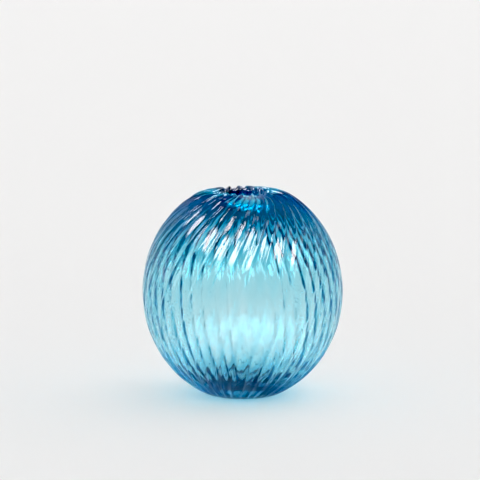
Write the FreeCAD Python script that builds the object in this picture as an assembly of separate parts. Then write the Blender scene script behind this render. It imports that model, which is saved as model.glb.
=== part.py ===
import FreeCAD, Part
import math
import os

# Glass bud vase, millimetres. +Z is up, and the origin is on the table, in the middle of the ground ring.
# The vase is one piece of mould-blown glass: a ribbed, twisted globe that turns in at a rolled lip,
# with a smooth cavity inside, a heavy base, and a shallow recess underneath that leaves a ground ring.

# Driving dimensions
BODY_DIAMETER = 100.0        # across opposite rib crests at the widest height
BODY_HEIGHT = 102.3          # table to the top of the lip
WAIST_HEIGHT = 51.5          # table to the widest height
CROWN_HEIGHT = 106.3         # where the globe's upper half would close, without its mouth
GROUND_RING_DIAMETER = 35.0  # outer edge of the flat ring that touches the table
RECESS_DIAMETER = 27.0       # inner edge of the ground ring
RECESS_DEPTH = 1.2
MOUTH_DIAMETER = 22.0        # narrowest bore of the lip
LIP_THICKNESS = 5.0          # radial thickness of the rolled lip
LIP_START_ANGLE = 75.0       # degrees above straight outwards, where the lip's rounding leaves the shoulder
SHOULDER_LENGTH = 7.5        # from the end of the globe's curve in to the middle of the lip
THROAT_HEIGHT = 6.5          # straight part of the bore, under the lip's rounding
UNDERSIDE_ANGLE = 70.0       # how far the glass rounds outwards under the throat, in degrees
UNDERSIDE_LENGTH = 5.0       # from the middle of the lip out to the start of the cavity's curve
WALL_THICKNESS = 2.4         # at the widest height
BASE_THICKNESS = 6.5         # table to the lowest point of the cavity
CAVITY_FULLNESS = 2.3        # below the waist: 2 is an ellipse, and more keeps the wall thin lower down
CROWN_THICKNESS = 12.0       # cavity's closing height below the globe's

# Ribs from the optic mould, and the swirl that twisting the soft glass gave them
RIB_COUNT = 38
RIB_DEPTH = 1.2              # crest to valley near the lip and the base
RIB_SHARPNESS = 1.4          # 0 is a cosine wave; more gives narrower crests and wider valleys
WAIST_FLATTENING = 0.6       # share of the depth lost at the waist, where the glass was blown out the most
WAIST_FLATTENING_POWER = 4
SCALLOP_DEPTH = 0.6          # waves along the lip, one to every second rib
EVEN_TWIST = 37.0            # degrees from table to lip, spread evenly
NECK_TWIST = 26.0            # further degrees, gathered towards the lip
NECK_TWIST_POWER = 3.5

# The skins are cubic spline surfaces, and these are the spacings of their control points
DEGREE = 3
POLES_PER_RIB = 6
CAVITY_POLES = 3 * RIB_COUNT  # enough for the inner skin to meet the outer one round the throat
GLOBE_ROWS = 26
LIP_ROWS = 8
UNDERSIDE_ROWS = 4
CAVITY_ROWS = 16
RIB_START_ROWS = 2            # rows over which the ribs rise out of the ground ring
SCALLOP_START_ROWS = 5        # rows over which the scallops grow, up to the top of the lip
TOLERANCE = 0.001

# Directions in the upright half plane of an outline, in degrees from straight outwards
INWARDS = 180
DOWNWARDS = -90

body_radius = BODY_DIAMETER / 2
ring_radius = GROUND_RING_DIAMETER / 2
lip_radius = LIP_THICKNESS / 2
lip_centre_radius = MOUTH_DIAMETER / 2 + lip_radius
lip_centre_height = BODY_HEIGHT - lip_radius
throat_bottom = lip_centre_height - THROAT_HEIGHT


def ellipse_points(radius, up, down, first, last, count, fullness=2):
    """(radius, height) points round an upright half ellipse about the waist, between two angles in degrees.

    The angles run from -90, the lowest point on the axis, through 0 at the waist, to 90 at the top. More
    fullness than 2 swells the half below the waist."""
    points = []
    for step in range(count):
        angle = math.radians(first + (last - first) * step / (count - 1))
        across, along = abs(math.cos(angle)), math.sin(angle)
        if angle > 0:
            points.append((radius * across, WAIST_HEIGHT + up * along))
        else:
            power = 2 / fullness
            points.append((radius * across**power, WAIST_HEIGHT - down * (-along) ** power))
    return points


def angle_at_radius(radius, full_radius):
    """Angle in degrees at which an ellipse of the given waist radius has shrunk to a radius."""
    return math.degrees(math.acos(radius / full_radius))


def arc_points(centre_radius, centre_height, radius, first, last, count):
    """(radius, height) points round a circular arc, between two angles in degrees from straight outwards."""
    points = []
    for step in range(count):
        angle = math.radians(first + (last - first) * step / (count - 1))
        points.append((centre_radius + radius * math.cos(angle), centre_height + radius * math.sin(angle)))
    return points


def globe_outline():
    """Outside of the vase, from the ground ring up to where the shoulder flattens towards the lip."""
    first = -angle_at_radius(ring_radius, body_radius)
    last = angle_at_radius(lip_centre_radius + SHOULDER_LENGTH, body_radius)
    up = CROWN_HEIGHT - WAIST_HEIGHT
    down = -WAIST_HEIGHT / math.sin(math.radians(first))
    return ellipse_points(body_radius, up, down, first, last, GLOBE_ROWS)


def lip_outline():
    """Rolled lip, from its outside over the top and down the throat."""
    roll = arc_points(lip_centre_radius, lip_centre_height, lip_radius, LIP_START_ANGLE, INWARDS, LIP_ROWS)
    return roll + [(MOUTH_DIAMETER / 2, throat_bottom)]


def cavity_outline():
    """Smooth inside, from the throat round the underside of the lip, and down to the floor's middle."""
    turn = INWARDS + UNDERSIDE_ANGLE
    underside = arc_points(lip_centre_radius, throat_bottom, lip_radius, INWARDS, turn, UNDERSIDE_ROWS)
    radius = body_radius - WALL_THICKNESS
    up = CROWN_HEIGHT - CROWN_THICKNESS - WAIST_HEIGHT
    down = WAIST_HEIGHT - BASE_THICKNESS
    first = angle_at_radius(lip_centre_radius + UNDERSIDE_LENGTH, radius)
    return underside + ellipse_points(radius, up, down, first, DOWNWARDS, CAVITY_ROWS, CAVITY_FULLNESS)


def rib_height(phase):
    """Height of the ribbed section, 0 in a valley and 1 on a crest, at a phase in radians."""
    lowest = math.exp(-RIB_SHARPNESS)
    highest = math.exp(RIB_SHARPNESS)
    return (math.exp(RIB_SHARPNESS * math.cos(phase)) - lowest) / (highest - lowest)


def waist_share(radius):
    """Share of the full rib depth that is left where the globe has a radius."""
    return 1 - WAIST_FLATTENING * (radius / body_radius) ** WAIST_FLATTENING_POWER


def smooth_step(value, start, end):
    """0 before start, 1 after end, and an even blend between them."""
    share = min(max((value - start) / (end - start), 0), 1)
    return share * share * (3 - 2 * share)


def outward_normal(outline, index):
    """Unit (radial, vertical) direction out of the glass at a point of an outline that climbs outside."""
    before = outline[max(index - 1, 0)]
    after = outline[min(index + 1, len(outline) - 1)]
    run, climb = after[0] - before[0], after[1] - before[1]
    length = math.hypot(run, climb)
    return climb / length, -run / length


def swirl(way_up):
    """Angle in radians through which a rib has turned, at a share of the way from table to lip."""
    return math.radians(EVEN_TWIST * way_up + NECK_TWIST * way_up**NECK_TWIST_POWER)


def circle_poles(radius, height, start, count):
    """Control points whose closed cubic spline runs round a circle, from a start angle in radians.

    Such a spline starts at its second control point, so the first one is a step before the start angle."""
    step = 2 * math.pi / count
    pole_radius = radius * 3 / (2 + math.cos(step))
    angles = [start + step * index for index in range(-1, count - 1)]
    return [FreeCAD.Vector(pole_radius * math.cos(a), pole_radius * math.sin(a), height) for a in angles]


def ribbed_poles(radius, height, normal, rib_depth, scallop_depth, start):
    """Control points of a ribbed section. The ribs and scallops are sunk into the glass from a circle."""
    poles = circle_poles(radius, height, start, RIB_COUNT * POLES_PER_RIB)
    for index, pole in enumerate(poles, start=-1):
        phase = 2 * math.pi * index / POLES_PER_RIB
        sunk = rib_depth * (1 - rib_height(phase)) + scallop_depth * (1 - math.cos(phase / 2)) / 2
        shrink = 1 - sunk * normal[0] / radius
        pole.x *= shrink
        pole.y *= shrink
        pole.z -= sunk * normal[1]
    return poles


def skin_halves(rows):
    """Two half skins of one smooth surface over rows of control points, which go all round the axis."""
    around = len(rows[0])
    spans = len(rows) - DEGREE
    whole = Part.BSplineSurface()
    whole.buildFromPolesMultsKnots(
        [[row[index] for row in rows] for index in range(around)],
        [1] * (around + 1),
        [DEGREE + 1] + [1] * (spans - 1) + [DEGREE + 1],
        [index / around for index in range(around + 1)],
        [index / spans for index in range(spans + 1)],
        True,
        False,
        DEGREE,
        DEGREE,
    )
    faces = []
    for first, last in ((0, 0.5), (0.5, 1)):
        half = whole.copy()
        half.segment(first, last, 0, 1)
        faces.append(half.toShape())
    return faces


def outer_skin():
    """Ribbed outside of the vase, over the lip and down to the throat, where the ribs have run out."""
    outline = globe_outline() + lip_outline()
    crest = max(range(len(outline)), key=lambda index: outline[index][1])
    throat = len(outline) - 2
    rows = []
    for index, (radius, height) in enumerate(outline):
        run_out = 1 - smooth_step(index, crest, throat)
        rib_depth = RIB_DEPTH * run_out * waist_share(radius) * smooth_step(index, 0, RIB_START_ROWS)
        scallop_depth = SCALLOP_DEPTH * run_out * smooth_step(index, crest - SCALLOP_START_ROWS, crest)
        start = swirl(min(index / crest, 1))
        normal = outward_normal(outline, index)
        rows.append(ribbed_poles(radius, height, normal, rib_depth, scallop_depth, start))
    return skin_halves(rows)


def inner_skin():
    """Smooth inside of the vase, closed at the middle of its floor."""
    rows = [circle_poles(radius, height, swirl(1), CAVITY_POLES) for radius, height in cavity_outline()]
    return skin_halves(rows)


def recess_dome():
    """Shallow dome under the base, inside the ground ring: the cap of a large sphere."""
    rim_radius = RECESS_DIAMETER / 2
    radius = (rim_radius**2 + RECESS_DEPTH**2) / (2 * RECESS_DEPTH)
    centre = FreeCAD.Vector(0, 0, RECESS_DEPTH - radius)
    rim_angle = math.degrees(math.acos(rim_radius / radius))
    sphere = Part.makeSphere(radius, centre, FreeCAD.Vector(0, 0, 1), rim_angle, 90)
    return max(sphere.Faces, key=lambda face: face.BoundBox.ZMax)


def edge_on_table(faces):
    """Closed wire of the faces' edges that lie on the table."""
    edges = [edge for face in faces for edge in face.Edges if not edge.Degenerated]
    return Part.Wire([edge for edge in edges if edge.BoundBox.ZMax < TOLERANCE])


def glass_body():
    """The whole vase, as one closed solid of glass."""
    outside = outer_skin()
    recess = [recess_dome()]
    ring_edges = [edge_on_table(outside), edge_on_table(recess)]
    ground_ring = Part.makeFace(ring_edges, "Part::FaceMakerBullseye")
    shell = Part.makeShell([*outside, ground_ring, *recess, *inner_skin()])
    shell.sewShape()
    solid = Part.makeSolid(shell)
    if solid.Volume < 0:
        solid.reverse()
    return solid


os.makedirs("parts", exist_ok=True)
vase = glass_body()
vase.exportStep("parts/glass_body.step")
print("glass_body valid:", vase.isValid(), "volume in cubic centimetres:", round(vase.Volume / 1000, 1))
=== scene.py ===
import bpy
import math
import numpy as np
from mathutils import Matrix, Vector


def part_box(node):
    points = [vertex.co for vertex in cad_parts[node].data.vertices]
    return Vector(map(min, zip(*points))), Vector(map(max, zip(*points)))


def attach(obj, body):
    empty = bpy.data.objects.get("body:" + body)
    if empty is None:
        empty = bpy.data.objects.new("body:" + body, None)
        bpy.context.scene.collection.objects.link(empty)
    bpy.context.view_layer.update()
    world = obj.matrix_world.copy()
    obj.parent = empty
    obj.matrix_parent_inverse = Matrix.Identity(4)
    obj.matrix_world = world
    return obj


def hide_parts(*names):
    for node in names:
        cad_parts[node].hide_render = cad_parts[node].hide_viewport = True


# Glass bud vase in metres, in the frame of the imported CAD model: +Z is up, and the origin is on the table,
# in the middle of the ground ring. The visible glass follows the CAD body's section and ribs, with the
# unevenness of hand work added: ribs that wander, fine mould lines between them, and shallow grooves in the
# cavity's wall that lean across the ribs.

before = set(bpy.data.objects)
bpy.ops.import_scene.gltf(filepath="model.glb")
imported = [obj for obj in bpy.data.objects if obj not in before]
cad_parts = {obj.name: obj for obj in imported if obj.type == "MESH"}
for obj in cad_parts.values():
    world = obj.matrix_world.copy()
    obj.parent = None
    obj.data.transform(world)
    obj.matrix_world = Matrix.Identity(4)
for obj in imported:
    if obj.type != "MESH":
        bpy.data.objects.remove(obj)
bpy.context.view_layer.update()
body_low, body_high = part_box("glass_body")
body_radius = (body_high.x - body_low.x) / 2
body_height = body_high.z
MM = 0.001

# Section of the glass. The dimensions are the CAD body's own, except for a thinner base.
WAIST_HEIGHT = 51.5 * MM
CROWN_HEIGHT = 106.3 * MM
GROUND_RING_RADIUS = 17.5 * MM
RECESS_RADIUS = 13.5 * MM
RECESS_DEPTH = 1.2 * MM
RECESS_SHOULDER = (0.9, 0.3)       # where the recess turns down, as shares of its radius and depth
MOUTH_RADIUS = 11.0 * MM
LIP_RADIUS = 2.5 * MM
LIP_START_ANGLE = 75
SHOULDER_LENGTH = 7.5 * MM
THROAT_HEIGHT = 6.5 * MM
UNDERSIDE_ANGLE = 70
UNDERSIDE_LENGTH = 5.0 * MM
WALL_THICKNESS = 2.4 * MM
BASE_THICKNESS = 4.0 * MM
CAVITY_FULLNESS = 2.3
CROWN_THICKNESS = 12.0 * MM

# Ribs and their swirl. The scallops are deeper than the CAD body's, and the ribs fade less at the waist.
RIB_COUNT = 38
RIB_DEPTH = 1.2 * MM
RIB_SHARPNESS = 1.4
WAIST_FLATTENING = 0.5
WAIST_FLATTENING_POWER = 4
SCALLOP_DEPTH = 1.2 * MM
EVEN_TWIST = math.radians(37)
NECK_TWIST = math.radians(26)
NECK_TWIST_POWER = 3.5

# Unevenness of hand work, which the CAD body doesn't have
SEED = 11
RIB_WANDER = math.radians(1.1)     # to either side
RIB_UNEVENNESS = 0.4               # as a share of the rib depth
FINE_LINE_DEPTH = 0.1 * MM
INNER_LINE_COUNT = 48              # grooves in the cavity's wall
INNER_LINE_DEPTH = 0.6 * MM
INNER_LINE_SHARPNESS = 0.5
INNER_LINE_LEAN = -1.2             # radians, over the whole outline
WOBBLE = 0.25 * MM                 # of the whole globe, inwards only
RIB_WAVES = range(5, 30)           # waves round the vase that each kind of unevenness is made of
DEPTH_WAVES = range(2, 24)
FINE_WAVES = range(84, 152)
WOBBLE_WAVES = range(1, 4)
LEAN_ALONG_RIBS = 0.3              # radians that a wave may lean to and fro, over the whole outline
LEAN_OF_WOBBLE = 2.0
BENDS = 3.0                        # radians of that to and fro
USUAL_PEAK = 2.25                  # of a sum of random waves, as a multiple of its root mean square

# Fineness of the mesh and of the control points
STEPS_PER_RIB = 20
ROWS_PER_SPAN = 2
GLOBE_ROWS = 26
LIP_ROWS = 8
UNDERSIDE_ROWS = 4
CAVITY_ROWS = 16
END_ROWS = 3                       # rows at each end that a flat fan replaces, on the axis
RIB_START_ROWS = 2                 # control rows over which each relief rises
WOBBLE_START_ROWS = 4
SCALLOP_START_ROWS = 5
INNER_START_ROWS = (3, 7)          # below the cavity's top, where the grooves start and are full
INNER_END_ROWS = (7, 2)            # before the middle of its floor, where they and the wobble fade out

# Glass
GLASS_ABSORPTION = (0.0, 0.77, 0.9, 1)
GLASS_DENSITY = 215
GLASS_IOR = 1.5
POLISH_ROUGHNESS = (0.004, 0.03)
MOULD_LINE_HEIGHT = 0.02 * MM
LINES_AROUND = 60
LINES_ALONG = 3
WORN_LINES = (0.4, 0.8)            # noise between which the polish goes from its best to its worst

# Floor
FLOOR_RADIUS = 6
FLOOR_SIDES = 96
FLOOR_DROP = 0.2 * MM
FLOOR_COLOUR = (0.85, 0.85, 0.85, 1)
FLOOR_ROUGHNESS = 0.9
FLOOR_SPECULAR = 0.1

# Studio, in degrees: azimuths go to the right from the camera's side, and elevations up from the horizon.
# The glass shows the sweep, the ceiling, the room and the windows. The floor is lit by the rest.
SWEEP_TOP, SWEEP_SOFTNESS = 32, 12
SWEEP_LEVEL, CEILING_LEVEL, ROOM_LEVEL = 0.82, 0.22, 0.4
ROOM_TO_SIDE, SWEEP_FROM = 105, 150
CEILING_TINT = (1.0, 0.86, 0.8, 1)
WINDOWS = [                        # left, right, bottom, top, level
    (-62, -12, 37, 60, 20),
    (16, 62, 37, 60, 20),
    (-100, -86, 0, 60, 3),
    (86, 100, 0, 60, 3),
]
WINDOW_SOFTNESS = 3
FLOOR_AMBIENT = 0.28
HORIZON_GLOW, HORIZON_GLOW_TOP = 6.0, 25
SOFT_LAMPS = [(120, 55, 6, 0.9), (-150, 70, 3, 0.5)]   # azimuth, elevation, narrowness, level
THROUGH_GLASS_GAIN = 3.5
THROUGH_GLASS_TINT = (1.0, 0.6, 0.56, 1)

# Camera
CAMERA_DISTANCE = 1.5
CAMERA_ELEVATION = math.radians(10.1)
CAMERA_AIM = Vector((-0.00124, 0, 0.0768))
CAMERA_BASE_HEIGHT = 0.0515
SENSOR_WIDTH, FOCAL_LENGTH = 36, 227.25
CLIP_END = 20

# Picture
BLACK_LEVEL = (0.03, 0.02, 0.02)
GLASS_BOUNCES = 24
GLOSSY_BOUNCES = 12

rng = np.random.default_rng(SEED)
lip_centre_radius = MOUTH_RADIUS + LIP_RADIUS
lip_centre_height = body_height - LIP_RADIUS
throat_bottom = lip_centre_height - THROAT_HEIGHT


def ellipse_points(radius, up, down, first, last, count, fullness=2):
    """(radius, height) points on a half ellipse about the waist, between two angles in degrees."""
    points = []
    for angle in np.radians(np.linspace(first, last, count)):
        across, along = abs(math.cos(angle)), math.sin(angle)
        if angle > 0:
            points.append((radius * across, WAIST_HEIGHT + up * along))
        else:
            power = 2 / fullness
            points.append((radius * across**power, WAIST_HEIGHT - down * (-along) ** power))
    return points


def arc_points(centre_radius, centre_height, radius, first, last, count):
    """(radius, height) points round a circular arc, between two angles in degrees from straight outwards."""
    angles = np.radians(np.linspace(first, last, count))
    return [(centre_radius + radius * math.cos(a), centre_height + radius * math.sin(a)) for a in angles]


def angle_at_radius(radius, full_radius):
    """Angle in degrees at which an ellipse of the given waist radius has shrunk to a radius."""
    return math.degrees(math.acos(radius / full_radius))


def recess_controls():
    """Underside, from the axis out to the ground ring."""
    across, up = RECESS_SHOULDER
    return [
        (0.0, RECESS_DEPTH),
        (RECESS_RADIUS / 2, RECESS_DEPTH),
        (RECESS_RADIUS * across, RECESS_DEPTH * up),
        (RECESS_RADIUS, 0.0),
        ((RECESS_RADIUS + GROUND_RING_RADIUS) / 2, 0.0),
    ]


def globe_controls():
    """Outside of the globe, from the ground ring up to the shoulder."""
    first = -angle_at_radius(GROUND_RING_RADIUS, body_radius)
    last = angle_at_radius(lip_centre_radius + SHOULDER_LENGTH, body_radius)
    down = -WAIST_HEIGHT / math.sin(math.radians(first))
    return ellipse_points(body_radius, CROWN_HEIGHT - WAIST_HEIGHT, down, first, last, GLOBE_ROWS)


def lip_controls():
    """Lip, over the top and round to the bore."""
    return arc_points(lip_centre_radius, lip_centre_height, LIP_RADIUS, LIP_START_ANGLE, 180, LIP_ROWS)


def cavity_controls():
    """Inside, from the bottom of the bore to the middle of the cavity's floor."""
    turn = 180 + UNDERSIDE_ANGLE
    underside = arc_points(lip_centre_radius, throat_bottom, LIP_RADIUS, 180, turn, UNDERSIDE_ROWS)
    radius = body_radius - WALL_THICKNESS
    up = CROWN_HEIGHT - CROWN_THICKNESS - WAIST_HEIGHT
    down = WAIST_HEIGHT - BASE_THICKNESS
    first = angle_at_radius(lip_centre_radius + UNDERSIDE_LENGTH, radius)
    return underside + ellipse_points(radius, up, down, first, -90, CAVITY_ROWS, CAVITY_FULLNESS)


def spline_points(controls):
    """Points on the cubic B-spline of the control points, which starts at the first and ends at the last."""
    padded = np.array([controls[0]] * 2 + controls + [controls[-1]] * 2)
    t = np.arange(ROWS_PER_SPAN) / ROWS_PER_SPAN
    basis = np.stack([(1 - t) ** 3, 3 * t**3 - 6 * t**2 + 4, -3 * t**3 + 3 * t**2 + 3 * t + 1, t**3]) / 6
    spans = [basis.T @ padded[index:index + 4] for index in range(len(padded) - 3)]
    return np.vstack(spans + [padded[-1:]])


def outward_normals(points):
    """Unit (radial, vertical) directions out of the glass, for an outline that climbs outside."""
    along = np.gradient(points, axis=0)
    along /= np.linalg.norm(along, axis=1, keepdims=True)
    return np.stack([along[:, 1], -along[:, 0]], axis=1)


def smooth_step(value, start, end):
    """0 before start, 1 after end, and an even blend between them."""
    share = np.clip((value - start) / (end - start), 0, 1)
    return share * share * (3 - 2 * share)


def rib_height(phase, sharpness):
    """Height of a ribbed section, 0 in a valley and 1 on a crest, at phases in radians."""
    lowest = math.exp(-sharpness)
    highest = math.exp(sharpness)
    return (np.exp(sharpness * np.cos(phase)) - lowest) / (highest - lowest)


def unevenness(theta, way, waves, lean):
    """Smooth random values, mostly between -1 and 1, over rows of angles round the vase."""
    total = np.zeros((len(way), len(theta)))
    for wave in waves:
        start, bend = rng.uniform(0, 2 * math.pi, 2)
        shift = rng.uniform(-lean, lean) * np.sin(BENDS * way + bend)
        total += np.cos(wave * theta + start + shift[:, None])
    return total / (USUAL_PEAK * math.sqrt(len(waves) / 2))


def glass_grid():
    """Vertices of the glass as (rows, steps round, 3), and each one's place along and round the ribs."""
    recess, globe, lip, cavity = recess_controls(), globe_controls(), lip_controls(), cavity_controls()
    controls = recess + globe + lip + cavity
    ring, cavity_top, cavity_floor = len(recess), len(controls) - len(cavity), len(controls) - 1
    crest = max(range(len(controls)), key=lambda index: controls[index][1])
    points = spline_points(controls)
    normals = outward_normals(points)
    station = np.arange(len(points)) / ROWS_PER_SPAN - 1
    way = np.linspace(0, 1, len(points))
    theta = np.linspace(0, 2 * math.pi, RIB_COUNT * STEPS_PER_RIB, endpoint=False)

    drift = RIB_WANDER * unevenness(theta, way, RIB_WAVES, LEAN_ALONG_RIBS)
    share = 1 + RIB_UNEVENNESS * unevenness(theta, way, DEPTH_WAVES, LEAN_ALONG_RIBS)
    fine = 1 + unevenness(theta, way, FINE_WAVES, LEAN_ALONG_RIBS)
    wobble = np.abs(unevenness(theta, way, WOBBLE_WAVES, LEAN_OF_WOBBLE))
    phase = RIB_COUNT * (theta + drift)
    valley = (1 - rib_height(phase, RIB_SHARPNESS)) * share
    scallop = (1 - np.cos(phase / 2)) / 2
    inner_turn = theta + drift + INNER_LINE_LEAN * way[:, None]
    inner_line = rib_height(INNER_LINE_COUNT * inner_turn, INNER_LINE_SHARPNESS) * share

    start, full = INNER_START_ROWS
    fading, gone = INNER_END_ROWS
    over_floor = 1 - smooth_step(station, cavity_floor - fading, cavity_floor - gone)
    inside = smooth_step(station, cavity_top + start, cavity_top + full) * over_floor
    outside = smooth_step(station, ring, ring + RIB_START_ROWS)
    outside *= 1 - smooth_step(station, crest, cavity_top - 1)
    off_axis = smooth_step(station, ring, ring + WOBBLE_START_ROWS) * over_floor
    near_lip = smooth_step(station, crest - SCALLOP_START_ROWS, crest)
    flattened = 1 - WAIST_FLATTENING * (points[:, 0] / body_radius) ** WAIST_FLATTENING_POWER

    sunk = (RIB_DEPTH * flattened * outside)[:, None] * valley / (1 + RIB_UNEVENNESS)
    sunk += (INNER_LINE_DEPTH * inside)[:, None] * inner_line
    sunk += (SCALLOP_DEPTH * near_lip * outside)[:, None] * scallop
    sunk += (FINE_LINE_DEPTH * outside)[:, None] * fine
    radius = points[:, :1] - sunk * normals[:, :1] - WOBBLE * off_axis[:, None] * wobble
    height = points[:, 1:] - sunk * normals[:, 1:]

    way_up = np.clip((station - ring) / (crest - ring), 0, 1)
    twist = EVEN_TWIST * way_up + NECK_TWIST * way_up**NECK_TWIST_POWER
    angle = theta + twist[:, None]
    grid = np.stack([radius * np.cos(angle), radius * np.sin(angle), height], axis=-1)
    level = np.broadcast_to(way[:, None] * LINES_ALONG, angle.shape)
    round_ribs = np.broadcast_to(theta, angle.shape)
    places = np.stack([np.cos(round_ribs), np.sin(round_ribs), level], axis=-1)
    return grid[END_ROWS:-END_ROWS], places[END_ROWS:-END_ROWS]


def tube_faces(rows, around):
    """Quads between neighbouring rings of vertices, and a fan at each end to one more vertex on the axis."""
    here = np.arange(rows * around).reshape(rows, around)
    after = np.roll(here, -1, axis=1)
    quads = np.stack([here[:-1], after[:-1], after[1:], here[1:]], axis=-1).reshape(-1, 4)
    first_end, last_end = rows * around, rows * around + 1
    fans = [(first_end, b, a) for a, b in zip(here[0].tolist(), after[0].tolist())]
    fans += [(last_end, a, b) for a, b in zip(here[-1].tolist(), after[-1].tolist())]
    return quads.tolist() + fans


def glass_mesh():
    """Closed mesh of the vase, with an attribute that runs along and round the ribs."""
    grid, places = glass_grid()
    ends = np.array([grid[0].mean(axis=0), grid[-1].mean(axis=0)])
    ends[:, :2] = 0
    vertices = np.vstack([grid.reshape(-1, 3), ends])
    end_places = np.array([places[0].mean(axis=0), places[-1].mean(axis=0)])
    mesh = bpy.data.meshes.new("glass_vase")
    mesh.from_pydata(vertices.tolist(), [], tube_faces(*grid.shape[:2]))
    along_ribs = mesh.attributes.new("along_ribs", "FLOAT_VECTOR", "POINT")
    along_ribs.data.foreach_set("vector", np.vstack([places.reshape(-1, 3), end_places]).ravel())
    mesh.shade_smooth()
    return mesh


def add_node(tree, kind, inputs=(), **settings):
    """New node. inputs pairs a socket's name or number with a value, or with the output to link to it."""
    made = tree.nodes.new(kind)
    for name, value in settings.items():
        setattr(made, name, value)
    for socket, value in dict(inputs).items():
        if isinstance(value, bpy.types.NodeSocket):
            tree.links.new(value, made.inputs[socket])
        else:
            made.inputs[socket].default_value = value
    return made


def calculate(tree, operation, *values):
    """Output of a math node."""
    return add_node(tree, "ShaderNodeMath", enumerate(values), operation=operation).outputs[0]


def ramp(tree, value, start, end, low=0.0, high=1.0):
    """Output that goes smoothly from low, up to the start, to high, from the end on."""
    sockets = {"Value": value, "From Min": start, "From Max": end, "To Min": low, "To Max": high}
    return add_node(tree, "ShaderNodeMapRange", sockets, interpolation_type="SMOOTHSTEP").outputs["Result"]


def new_material(name):
    """Material with the default nodes, as (material, its node tree, its shader)."""
    material = bpy.data.materials.new(name)
    material.use_nodes = True
    return material, material.node_tree, material.node_tree.nodes["Principled BSDF"]


def glass_material():
    """Cyan-blue glass: clear at the surface, coloured by depth, with faint mould lines along the ribs."""
    material, tree, shader = new_material("blue_glass")
    shader.inputs["Base Color"].default_value = (1, 1, 1, 1)
    shader.inputs["IOR"].default_value = GLASS_IOR
    shader.inputs["Transmission Weight"].default_value = 1
    places = add_node(tree, "ShaderNodeAttribute", attribute_name="along_ribs").outputs["Vector"]
    lines = add_node(tree, "ShaderNodeTexNoise", {"Vector": places, "Scale": LINES_AROUND / (2 * math.pi)})
    rough = ramp(tree, lines.outputs[0], *WORN_LINES, *POLISH_ROUGHNESS)
    tree.links.new(rough, shader.inputs["Roughness"])
    bump = {"Height": lines.outputs[0], "Distance": MOULD_LINE_HEIGHT, "Strength": 1.0}
    tree.links.new(add_node(tree, "ShaderNodeBump", bump).outputs[0], shader.inputs["Normal"])
    depth = {"Color": GLASS_ABSORPTION, "Density": GLASS_DENSITY}
    absorption = add_node(tree, "ShaderNodeVolumeAbsorption", depth)
    tree.links.new(absorption.outputs[0], tree.nodes["Material Output"].inputs["Volume"])
    return material


def floor_material():
    """Matt white, so that nothing but the shadow shows on it."""
    material, _, shader = new_material("floor_white")
    shader.inputs["Base Color"].default_value = FLOOR_COLOUR
    shader.inputs["Roughness"].default_value = FLOOR_ROUGHNESS
    shader.inputs["Specular IOR Level"].default_value = FLOOR_SPECULAR
    return material


def add_object(name, data):
    """Object linked to the scene."""
    made = bpy.data.objects.new(name, data)
    bpy.context.collection.objects.link(made)
    return made


def add_floor():
    """Plain round floor, just under the vase."""
    turns = [2 * math.pi * side / FLOOR_SIDES for side in range(FLOOR_SIDES)]
    corners = [(FLOOR_RADIUS * math.cos(turn), FLOOR_RADIUS * math.sin(turn), 0) for turn in turns]
    mesh = bpy.data.meshes.new("floor")
    mesh.from_pydata(corners, [], [range(FLOOR_SIDES)])
    mesh.materials.append(floor_material())
    made = add_object("floor", mesh)
    made.location.z = -FLOOR_DROP


def add_vase():
    """The one piece of glass."""
    made = add_object("glass_vase", glass_mesh())
    made.data.materials.append(glass_material())
    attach(made, "root")
    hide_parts("glass_body")


def band(tree, value, start, end):
    """1 between start and end, and 0 outside, with edges as soft as a window's."""
    rise = ramp(tree, value, start - WINDOW_SOFTNESS, start + WINDOW_SOFTNESS)
    fall = ramp(tree, value, end - WINDOW_SOFTNESS, end + WINDOW_SOFTNESS, 1.0, 0.0)
    return calculate(tree, "MULTIPLY", rise, fall)


def seen_level(tree, elevation, azimuth, above, camera_ray):
    """Brightness that the glass shows: a white sweep behind, a darker room in front, and windows."""
    behind = ramp(tree, calculate(tree, "ABSOLUTE", azimuth), ROOM_TO_SIDE, SWEEP_FROM)
    around = calculate(tree, "MAXIMUM", behind, camera_ray)
    around = calculate(tree, "MULTIPLY_ADD", around, SWEEP_LEVEL - ROOM_LEVEL, ROOM_LEVEL)
    below = calculate(tree, "SUBTRACT", 1.0, above)
    level = calculate(tree, "MULTIPLY", below, around)
    level = calculate(tree, "MULTIPLY_ADD", above, CEILING_LEVEL, level)
    for left, right, bottom, top, brightness in WINDOWS:
        height = band(tree, elevation, bottom, top)
        window = calculate(tree, "MULTIPLY", height, band(tree, azimuth, left, right))
        level = calculate(tree, "MULTIPLY_ADD", window, brightness, level)
    return level


def lit_level(tree, direction, elevation):
    """Brightness that lights the floor: an even part, a glow near the horizon, and soft lamps."""
    glow = ramp(tree, elevation, 0, HORIZON_GLOW_TOP, HORIZON_GLOW, 0.0)
    level = calculate(tree, "ADD", glow, FLOOR_AMBIENT)
    for azimuth, height, narrowness, brightness in SOFT_LAMPS:
        turn, rise = math.radians(azimuth), math.radians(height)
        towards = (math.cos(rise) * math.sin(turn), -math.cos(rise) * math.cos(turn), math.sin(rise))
        facing = add_node(tree, "ShaderNodeVectorMath", {0: direction, 1: towards}, operation="DOT_PRODUCT")
        facing = calculate(tree, "MAXIMUM", facing.outputs["Value"], 0.0)
        lamp = calculate(tree, "POWER", facing, narrowness)
        level = calculate(tree, "MULTIPLY_ADD", lamp, brightness, level)
    return level


def mix(tree, factor, first, second, kind):
    """Output between two numbers or two colours."""
    made = add_node(tree, "ShaderNodeMix", data_type=kind)
    tree.links.new(factor, made.inputs["Factor"])
    ends = [socket for socket in made.inputs if socket.enabled and socket.name in ("A", "B")]
    for socket, value in zip(ends, (first, second)):
        if isinstance(value, bpy.types.NodeSocket):
            tree.links.new(value, socket)
        else:
            socket.default_value = value
    return next(socket for socket in made.outputs if socket.enabled)


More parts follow.
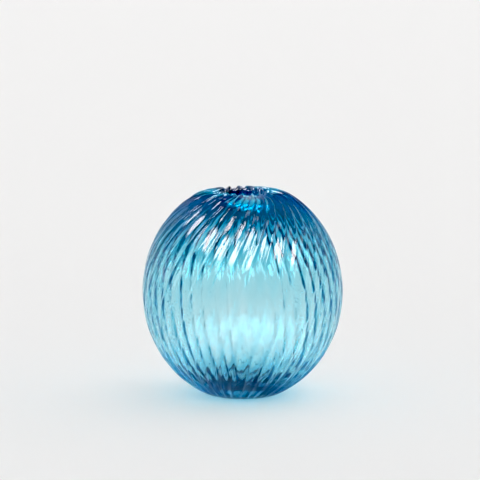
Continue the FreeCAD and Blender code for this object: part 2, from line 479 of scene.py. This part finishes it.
def set_studio():
    """World that the floor sees as soft lamps, and the glass and the camera as a sweep with windows."""
    studio = bpy.data.worlds.new("studio")
    studio.use_nodes = True
    bpy.context.scene.world = studio
    tree = studio.node_tree
    direction = add_node(tree, "ShaderNodeTexCoord").outputs["Generated"]
    parts = add_node(tree, "ShaderNodeSeparateXYZ", {0: direction}).outputs
    path = add_node(tree, "ShaderNodeLightPath").outputs
    elevation = calculate(tree, "DEGREES", calculate(tree, "ARCSINE", parts["Z"]))
    towards_camera = calculate(tree, "MULTIPLY", parts["Y"], -1.0)
    azimuth = calculate(tree, "DEGREES", calculate(tree, "ARCTAN2", parts["X"], towards_camera))
    above = ramp(tree, elevation, SWEEP_TOP - SWEEP_SOFTNESS, SWEEP_TOP + SWEEP_SOFTNESS)

    through = path["Is Transmission Ray"]
    looking = calculate(tree, "ADD", path["Is Camera Ray"], path["Is Glossy Ray"])
    looking = calculate(tree, "MINIMUM", calculate(tree, "ADD", looking, through), 1.0)
    not_from_floor = calculate(tree, "LESS_THAN", path["Diffuse Depth"], 0.5)
    looking = calculate(tree, "MULTIPLY", looking, not_from_floor)

    seen = seen_level(tree, elevation, azimuth, above, path["Is Camera Ray"])
    lit = lit_level(tree, direction, elevation)
    lit = calculate(tree, "MULTIPLY", lit, calculate(tree, "MULTIPLY_ADD", through, THROUGH_GLASS_GAIN, 1.0))
    white = (1, 1, 1, 1)
    seen_tint = mix(tree, above, white, CEILING_TINT, "RGBA")
    lit_tint = mix(tree, through, white, THROUGH_GLASS_TINT, "RGBA")
    background = tree.nodes["Background"]
    tree.links.new(mix(tree, looking, lit, seen, "FLOAT"), background.inputs["Strength"])
    tree.links.new(mix(tree, looking, lit_tint, seen_tint, "RGBA"), background.inputs["Color"])


def add_camera():
    """Camera in front of the vase and a little above it."""
    made = add_object("camera", bpy.data.cameras.new("camera"))
    made.data.sensor_width = SENSOR_WIDTH
    made.data.lens = FOCAL_LENGTH
    made.data.clip_end = CLIP_END
    back = CAMERA_DISTANCE * math.cos(CAMERA_ELEVATION)
    rise = CAMERA_DISTANCE * math.sin(CAMERA_ELEVATION)
    made.location = (CAMERA_AIM.x, -back, CAMERA_BASE_HEIGHT + rise)
    made.rotation_mode = "QUATERNION"
    made.rotation_quaternion = (CAMERA_AIM - made.location).to_track_quat("-Z", "Y")
    bpy.context.scene.camera = made


def set_picture():
    """Colour handling, and how far light is followed through the glass."""
    scene = bpy.context.scene
    scene.view_settings.view_transform = "Standard"
    scene.view_settings.use_curve_mapping = True
    scene.view_settings.curve_mapping.black_level = BLACK_LEVEL
    scene.view_settings.curve_mapping.update()
    scene.cycles.use_denoising = True
    scene.cycles.max_bounces = GLASS_BOUNCES
    scene.cycles.transmission_bounces = GLASS_BOUNCES
    scene.cycles.glossy_bounces = GLOSSY_BOUNCES


add_vase()
add_floor()
set_studio()
add_camera()
set_picture()
